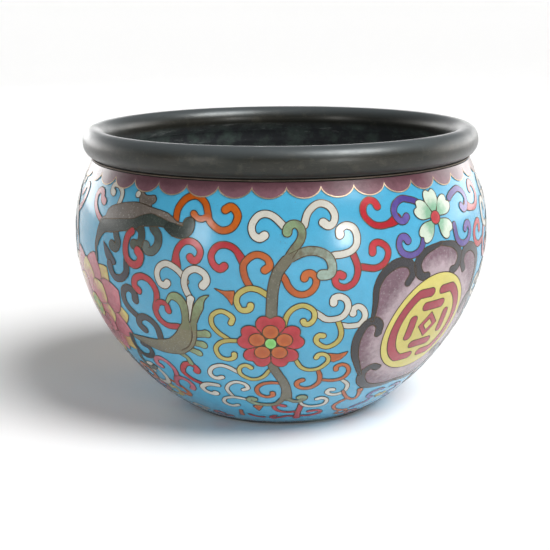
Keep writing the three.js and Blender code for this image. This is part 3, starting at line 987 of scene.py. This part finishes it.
class Shelf:
    # one node tree, with short calls for adding and joining nodes
    def __init__(self, tree):
        self.tree = tree

    def add(self, kind, settings=None, **values):
        node = self.tree.nodes.new(kind)
        for key, value in (settings or {}).items():
            setattr(node, key, value)
        for key, value in values.items():
            self.put(node.inputs[key.replace("_", " ")], value)
        return node

    def put(self, socket, value):
        if isinstance(value, bpy.types.NodeSocket):
            self.tree.links.new(value, socket)
        else:
            socket.default_value = value

    def math(self, kind, a, b):
        node = self.add("ShaderNodeMath", {"operation": kind})
        self.put(node.inputs[0], a)
        self.put(node.inputs[1], b)
        return node.outputs[0]

    def plus(self, a, b):
        return self.math("ADD", a, b)

    def times(self, a, b):
        return self.math("MULTIPLY", a, b)

    def swing(self, value, depth):
        # a noise that lies about 0 instead of 0.5
        return self.times(self.math("SUBTRACT", value, 0.5), depth)

    def mix(self, share, a, b):
        node = self.add("ShaderNodeMix", {"data_type": "RGBA"})
        for key, value in (("Factor", share), (6, a), (7, b)):
            self.put(node.inputs[key], value)
        return node.outputs[2]

    def spread(self, value, low, high, toLow=0.0, toHigh=1.0):
        node = self.add("ShaderNodeMapRange", Value=value, From_Min=low, From_Max=high)
        self.put(node.inputs["To Min"], toLow)
        self.put(node.inputs["To Max"], toHigh)
        return node.outputs[0]

    def noise(self, place, scale, detail=3.0, rough=0.55):
        node = self.add("ShaderNodeTexNoise", Vector=place, Scale=scale, Detail=detail, Roughness=rough)
        return node.outputs[0]

    def stretched(self, place, scale):
        node = self.add("ShaderNodeMapping", Vector=place)
        node.inputs["Scale"].default_value = scale
        return node.outputs[0]

    def coordinates(self, kind="Object"):
        return self.add("ShaderNodeTexCoord").outputs[kind]


def newGroup(name, inputs):
    # numbers and colours go in by name; colour, roughness and height come out
    tree = bpy.data.node_groups.new(name, "ShaderNodeTree")
    for label, value in inputs.items():
        kind = "NodeSocketFloat" if isinstance(value, float) else "NodeSocketColor"
        tree.interface.new_socket(label, in_out="INPUT", socket_type=kind).default_value = value
    for label, kind in (("Colour", "Color"), ("Roughness", "Float"), ("Height", "Float")):
        tree.interface.new_socket(label, in_out="OUTPUT", socket_type="NodeSocket" + kind)
    shelf = Shelf(tree)
    return shelf, shelf.add("NodeGroupInput").outputs, shelf.add("NodeGroupOutput").inputs


middleGrey = (0.5, 0.5, 0.5, 1.0)
glaze = {                       # noise scales are per metre; pairs say where a mask starts and is full
    "runScale": 420.0,
    "runReach": 0.9,
    "runFrom": (0.3, 0.95),
    "grainScale": 1900.0,
    "grainDepth": 0.10,
    "pitScale": 520.0,
    "pitSize": (0.13, 0.06),
    "pitPatchScale": 210.0,
    "pitPatches": (0.56, 0.62),
    "pitColour": (0.03, 0.03, 0.03, 1),
    "speckScale": 1100.0,
    "speckSize": (0.58, 0.68),
    "speckColour": (0.42, 0.42, 0.38, 1),
    "dullScale": 60.0,
    "dullDepth": 0.10,
    "waveScale": 130.0,
    "waveDepth": 0.5,
}


def firedEnamelGroup(g):
    # fused glass: two tones that run into each other, cloudy mottling, fine grain, specks and tiny pits
    s, given, out = newGroup("firedEnamel", {
        "Body": middleGrey,
        "Second": middleGrey,
        "Cloud scale": 160.0,
        "Cloud depth": 0.12,
        "Pits": 0.5,
        "Gloss": 0.16,
        "Specks": 0.0,
    })
    place = s.coordinates()
    shade = s.add("ShaderNodeAttribute", {"attribute_name": "shade"}).outputs["Fac"]
    run = s.swing(s.noise(place, g["runScale"]), g["runReach"])
    body = s.mix(s.spread(s.plus(shade, run), *g["runFrom"]), given["Body"], given["Second"])
    cloud = s.swing(s.noise(place, given["Cloud scale"], 5.0, 0.62), given["Cloud depth"])
    grain = s.swing(s.noise(place, g["grainScale"], 2.0), g["grainDepth"])
    light = s.plus(1.0, s.times(s.plus(cloud, grain), 2.0))
    lit = s.add("ShaderNodeHueSaturation", Color=body, Value=light).outputs[0]
    cells = s.add("ShaderNodeTexVoronoi", Vector=place, Scale=g["pitScale"]).outputs["Distance"]
    patches = s.spread(s.noise(place, g["pitPatchScale"], 1.0), *g["pitPatches"])
    pit = s.times(s.times(s.spread(cells, *g["pitSize"]), patches), given["Pits"])
    specks = s.spread(s.noise(place, g["speckScale"], 4.0, 0.7), *g["speckSize"])
    pitted = s.mix(pit, lit, g["pitColour"])
    s.put(out["Colour"], s.mix(s.times(specks, given["Specks"]), pitted, g["speckColour"]))
    dull = s.plus(given["Gloss"], s.times(s.noise(place, g["dullScale"]), g["dullDepth"]))
    s.put(out["Roughness"], s.plus(dull, s.times(pit, 0.3)))
    wave = s.times(s.noise(place, g["waveScale"], 2.0), g["waveDepth"])
    s.put(out["Height"], s.math("SUBTRACT", wave, s.times(pit, 0.6)))
    return s.tree


age = {
    "cloudFrom": (0.38, 0.66),
    "cloudDull": 0.18,
    "grainScale": 900.0,
    "grainDull": 0.2,
    "grainHeight": 0.4,
    "spotScale": 150.0,
    "spots": (0.54, 0.72, 0.0, 0.35),
    "lineStretch": (1.0, 1.0, 9.0),
    "lineScale": 260.0,
    "lineFrom": (0.56, 0.72),
    "lineColour": 0.4,
    "lineHeight": 0.5,
}


def agedMetalGroup(g):
    # worn metal: broad patina clouds, fine grain, worn spots, and scratches stretched round the axis
    s, given, out = newGroup("agedMetal", {
        "Metal": middleGrey,
        "Patina": middleGrey,
        "Wear": middleGrey,
        "Patina scale": 40.0,
        "Patina amount": 0.5,
        "Gloss": 0.35,
    })
    place = s.coordinates()
    cloud = s.spread(s.noise(place, given["Patina scale"], 6.0, 0.6), *g["cloudFrom"])
    share = s.times(cloud, given["Patina amount"])
    body = s.mix(share, given["Metal"], given["Patina"])
    worn = s.mix(s.spread(s.noise(place, g["spotScale"], 5.0, 0.7), *g["spots"]), body, given["Wear"])
    long = s.stretched(place, g["lineStretch"])
    lines = s.spread(s.noise(long, g["lineScale"], 5.0, 0.75), *g["lineFrom"])
    s.put(out["Colour"], s.mix(s.times(lines, g["lineColour"]), worn, given["Wear"]))
    grain = s.noise(place, g["grainScale"])
    dull = s.plus(given["Gloss"], s.swing(grain, g["grainDull"]))
    s.put(out["Roughness"], s.plus(dull, s.times(share, g["cloudDull"])))
    s.put(out["Height"], s.plus(s.times(grain, g["grainHeight"]), s.times(lines, g["lineHeight"])))
    return s.tree


firedEnamel = firedEnamelGroup(glaze)
agedMetal = agedMetalGroup(age)
bumpStrength = 0.25


def startMaterial(name, finish):
    # finish holds what is the same all over, set on the shader's own sockets
    material = bpy.data.materials.new(name)
    material.use_nodes = True
    shader = material.node_tree.nodes["Principled BSDF"]
    for key, value in finish.items():
        shader.inputs[key].default_value = value
    return material, Shelf(material.node_tree), shader


def finishFrom(s, shader, group, values, bumpHeight):
    node = s.add("ShaderNodeGroup", {"node_tree": group}, **values)
    s.put(shader.inputs["Base Color"], node.outputs["Colour"])
    s.put(shader.inputs["Roughness"], node.outputs["Roughness"])
    height = node.outputs["Height"]
    bump = s.add("ShaderNodeBump", Height=height, Distance=bumpHeight, Strength=bumpStrength)
    s.put(shader.inputs["Normal"], bump.outputs[0])
    return node


enamels = {                     # body colour, second towards tips and edges, cloud depth, pits, specks
    "ground": ("4499BB", "50A5C5", 0.14, 0.6),
    "border_maroon": ("5B3D44", "735059", 0.30, 0.4),
    "red": ("9A1A24", "AC2C35", 0.18, 0.4),
    "orange": ("9E480C", "AE581A", 0.18, 0.4),
    "cream": ("B4B2A8", "C1BFB5", 0.14, 0.5),
    "yellow": ("A0954A", "B2A75C", 0.18, 0.4),
    "gold_yellow": ("B7AC56", "C1B660", 0.12, 0.5),
    "crimson": ("8C2536", "9C3543", 0.14, 0.3),
    "leaf_green": ("6FB45C", "84C470", 0.12, 0.4),
    "fork_green": ("605C4A", "78906C", 0.20, 0.5, 0.2),
    "fork_grey": ("605C4A", "8A9E92", 0.20, 0.5),
    "leaf_sage": ("666A48", "7F966C", 0.20, 0.5),
    "palm_olive": ("5F5C4A", "6C674A", 0.26, 0.7, 0.35),
    "olive": ("575546", "625F50", 0.30, 0.8, 0.3),
    "moss": ("272E27", "3E4433", 0.24, 0.5),
    "slate": ("35403C", "535F59", 0.20, 0.5),
    "canopy_grey": ("59514A", "69615A", 0.42, 1.0, 0.5),
    "forest": ("18231D", "2E3933", 0.40, 0.9, 0.15),
    "purple": ("493A7C", "5F5292", 0.18, 0.4),
    "mauve": ("9C8B91", "664B57", 0.40, 0.9, 0.35),
    "charcoal": ("1F1E22", "2C2B2F", 0.22, 0.4),
    "navy": ("161824", "262A3E", 0.20, 0.4),
    "pink": ("A24A5B", "B26C77", 0.18, 0.4),
    "petal_pink": ("8F2B41", "B6636F", 0.20, 0.4),
    "petal_yellow": ("A23C4C", "BDB05A", 0.18, 0.4),
    "blossom": ("76A286", "BAC6B6", 0.12, 0.4),
}
glassFinish = {
    "IOR": 1.52,
    "Coat Weight": 0.25,
    "Coat Roughness": 0.12,
    "Sheen Weight": 0.05,
    "Sheen Roughness": 0.3,
}
glassBump = 0.0004


def enamelMaterial(name):
    body, second, depth, pits, *specks = enamels[name]
    material, s, shader = startMaterial("enamel_" + name, glassFinish)
    values = {"Body": linear(body), "Second": linear(second), "Cloud_depth": depth, "Pits": pits}
    values["Specks"] = specks[0] if specks else 0.0
    finishFrom(s, shader, firedEnamel, values, glassBump)
    return material


metals = {                      # metal, patina, wear, patina scale and amount, gloss, metallic, bump
    "bronze": ("2E2D27", "1C211D", "5A554A", 38.0, 0.85, 0.31, 0.35, 0.0001),
    "copper": ("6C6156", "4C443B", "A39484", 90.0, 0.6, 0.42, 0.9, 0.0003),
    "brass": ("5A4C3C", "3A3128", "97805A", 260.0, 0.8, 0.34, 0.9, 0.0003),
    # a paler copy of the brass for the border's wire: its lighter colour is a painted glint
    "brass_painted_glint": ("B8A48A", "8A7A66", "DCCFB6", 200.0, 0.5, 0.36, 0.9, 0.0003),
}
bronzeFinish = {
    "IOR": 1.4,
    "Coat Weight": 0.25,
    "Coat Roughness": 0.28,
    "Sheen Weight": 0.2,
    "Sheen Roughness": 0.35,
    "Sheen Tint": (0.95, 0.97, 1.0, 1),
}
well = {                        # metres from the axis and metres up, where each mask starts and is full
    "wallRadius": (0.0890, 0.0880),
    "wallHeight": (0.1285, 0.1250),
    "lowHeight": (0.1215, 0.1205),
    # the rim's top is painted paler from this height up: a painted reflection of the light it catches from
    # above
    "paintedTopHeight": (0.1315, 0.1362, 0.0, 0.8),
    "paintedTopLight": "62696C",
    "dullColour": "44474A",
    "bloomColour": "6E7F78",
    "bloomScale": 60.0,
    "bloom": (0.46, 0.66, 0.0, 0.8),
    # pale streaks in the well: partly scratches, partly a painted reflection
    "markColour": "C4C8C6",
    "markStretch": (0.4, 0.4, 2.4),
    "markScale": 110.0,
    "marks": (0.58, 0.70, 0.0, 0.65),
    "roughness": 0.14,
    "metallic": 0.1,
}


def dressWell(s, shader, node, metallic, w):
    # the well is duller, with a greenish bloom and pale marks; the rim's top is painted paler, a painted
    # reflection of the light from above
    place = s.coordinates()
    x, y, z = s.add("ShaderNodeSeparateXYZ", Vector=place).outputs
    fromAxis = s.math("POWER", s.plus(s.math("POWER", x, 2.0), s.math("POWER", y, 2.0)), 0.5)
    wall = s.times(s.spread(fromAxis, *w["wallRadius"]), s.spread(z, *w["wallHeight"]))
    inside = s.math("MAXIMUM", wall, s.spread(z, *w["lowHeight"]))
    bloom = s.spread(s.noise(place, w["bloomScale"], 6.0, 0.7), *w["bloom"])
    flat = s.stretched(place, w["markStretch"])
    # pale streaks: scratches, partly painted reflection
    marks = s.spread(s.noise(flat, w["markScale"], 6.0, 0.8), *w["marks"])
    dull = s.mix(bloom, linear(w["dullColour"]), linear(w["bloomColour"]))
    dull = s.mix(marks, dull, linear(w["markColour"]))
    # painted reflection: the colour goes paler towards the rim's top
    outer = s.mix(s.spread(z, *w["paintedTopHeight"]), node.outputs["Colour"], linear(w["paintedTopLight"]))
    s.put(shader.inputs["Base Color"], s.mix(inside, outer, dull))
    s.put(shader.inputs["Roughness"], s.plus(node.outputs["Roughness"], s.times(inside, w["roughness"])))
    s.put(shader.inputs["Metallic"], s.spread(inside, 0.0, 1.0, metallic, w["metallic"]))


def metalMaterial(name):
    metal, patina, wear, scale, amount, gloss, metallic, bump = metals[name]
    finish = bronzeFinish if name == "bronze" else {}
    material, s, shader = startMaterial("metal_" + name, {"Metallic": metallic, **finish})
    values = {"Metal": linear(metal), "Patina": linear(patina), "Wear": linear(wear)}
    values.update({"Patina_scale": scale, "Patina_amount": amount, "Gloss": gloss})
    node = finishFrom(s, shader, agedMetal, values, bump)
    if name == "bronze":
        dressWell(s, shader, node, metallic, well)
    return material


bronzeVessel.data.materials.append(metalMaterial("bronze"))
edgeWire.data.materials.append(metalMaterial("copper"))
groundShell.data.materials.append(enamelMaterial("ground"))
# the border's wire takes the paler brass, a painted glint
wireMetals = {"cell_wires": "brass", "border_wire": "brass_painted_glint"}
for name, piece in cellPieces.items():
    finish = metalMaterial(wireMetals[name]) if name in wireMetals else enamelMaterial(name)
    piece.data.materials.append(finish)
for piece in (bronzeVessel, edgeWire, groundShell, *cellPieces.values()):
    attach(piece, "root")
print("materials made")

# Floor, light and camera

floorLook = {
    "rings": (0, 0.3, 0.8, 2.0, 6.0, 30.0),
    "sides": 96,
    "below": 0.00002,               # keeps the foot ring clear of the floor
    "colour": (0.97, 0.97, 0.97, 1),
    "cloudColour": (0.8, 0.8, 0.8, 1),
    "cloudScale": 9.0,
    "clouds": (0.3, 0.7, 0.0, 0.03),
}
floorFinish = {"Roughness": 0.5, "Specular IOR Level": 0.2}
studio = {
    "airColour": (1.0, 0.99, 0.975, 1),
    "airStrength": 0.05,            # overhead and in front
    "wallStrength": 2.7,            # low down behind the bowl, as a white wall would be
    "wallHeight": (0.38, 0.12),     # sines of the heights where the wall's light ends and is full
    "wallDepth": (-0.1, 0.5),       # how far back it starts and is full
    "sideShare": 0.16,              # how much of that is left at the sides and in front
    "backdrop": 1.0,                # the plain white that shows above the floor's far edge
    "boxAim": (0, 0, 0.08),
}
suns = [                            # name, strength, width in degrees, where it shines from
    ("key", 3.3, 30.0, (0.54, -0.40, 0.86)),
    ("top", 0.05, 60.0, (0.1, 0.15, 1.0)),
]
softBoxes = [                       # name, turn from the camera, distance, height, width, tallness, watts
    ("strip_right", 33, 1.5, 0.34, 0.18, 0.42, 4.6),
    ("strip_left", -42, 1.5, 0.38, 0.26, 0.6, 3.0),
    ("panel_right", 118, 1.9, 0.50, 1.5, 0.9, 6.0),
    ("panel_left", -140, 1.9, 0.36, 1.3, 0.6, 3.6),
]
view = {
    "distance": 0.600,
    "height": 0.200,
    "pitchDown": 13.02,
    "turnLeft": 0.296,
    "roll": -0.45,
    "lens": 81.13,
    "sensor": 36.0,
    "near": 0.02,
    "far": 80.0,
}


def makeFloor(f):
    # a flat disc: rings between the middle and a far edge
    a = np.radians(np.linspace(0, 360, f["sides"] + 1))
    a[-1] = 0
    r = np.array(f["rings"])[:, None]
    points = np.stack([r * np.cos(a), r * np.sin(a), 0 * r * a - f["below"]], -1).reshape(-1, 3)
    faces = gridFaces(len(r), len(a))[:, ::-1]
    floor = makePiece("floor", points, faces, points[:, :2] * 0.01)
    material, s, shader = startMaterial("pale_floor", floorFinish)
    cloud = s.spread(s.noise(s.coordinates(), f["cloudScale"]), *f["clouds"])
    s.put(shader.inputs["Base Color"], s.mix(cloud, f["colour"], f["cloudColour"]))
    floor.data.materials.append(material)


def aimed(name, light, place, target):
    # a lamp looks down its own -z axis: tipped up from straight down, then turned about z
    lamp = bpy.data.objects.new(name, light)
    x, y, z = np.array(target, float) - np.array(place, float)
    lamp.location = place
    lamp.rotation_euler = (np.pi / 2 + np.arctan2(z, np.hypot(x, y)), 0, np.arctan2(-x, y))
    bpy.context.scene.collection.objects.link(lamp)


def makeLights(f):
    world = bpy.data.worlds.new("studio_air")
    world.use_nodes = True
    s = Shelf(world.node_tree)
    way = s.add("ShaderNodeSeparateXYZ", Vector=s.coordinates("Generated")).outputs
    lowDown = s.spread(way[2], *f["wallHeight"])
    behind = s.spread(way[1], *f["wallDepth"], f["sideShare"], 1.0)
    wall = s.times(s.times(lowDown, behind), f["wallStrength"])
    light = s.plus(wall, f["airStrength"])
    seen = s.add("ShaderNodeLightPath").outputs["Is Camera Ray"]
    air = world.node_tree.nodes["Background"].inputs
    s.put(air["Color"], f["airColour"])
    s.put(air["Strength"], s.spread(seen, 0.0, 1.0, light, f["backdrop"]))
    bpy.context.scene.world = world
    for name, strength, angle, place in suns:
        sun = bpy.data.lights.new(name, "SUN")
        sun.energy = strength
        sun.angle = np.radians(angle)
        aimed(name, sun, place, (0, 0, 0))
    for name, azimuth, distance, high, wide, tall, power in softBoxes:
        box = bpy.data.lights.new(name, "AREA")
        box.shape = "RECTANGLE"
        box.size = wide
        box.size_y = tall
        box.energy = power
        x, y = towards(azimuth - 90, distance)
        aimed(name, box, (x, y, high), f["boxAim"])


def makeCamera(v):
    camera = bpy.data.objects.new("camera", bpy.data.cameras.new("camera"))
    camera.data.lens = v["lens"]
    camera.data.sensor_width = v["sensor"]
    camera.data.clip_start = v["near"]
    camera.data.clip_end = v["far"]
    camera.location = (0, -v["distance"], v["height"])
    camera.rotation_mode = "QUATERNION"
    yaw = Quaternion((0, 0, 1), np.radians(v["turnLeft"]))
    pitch = Quaternion((1, 0, 0), np.radians(90 - v["pitchDown"]))
    roll = Quaternion((0, 0, 1), np.radians(v["roll"]))
    camera.rotation_quaternion = yaw @ pitch @ roll
    bpy.context.scene.collection.objects.link(camera)
    bpy.context.scene.camera = camera
    bpy.context.scene.view_settings.view_transform = "Standard"


makeFloor(floorLook)
makeLights(studio)
makeCamera(view)
print("studio ready")
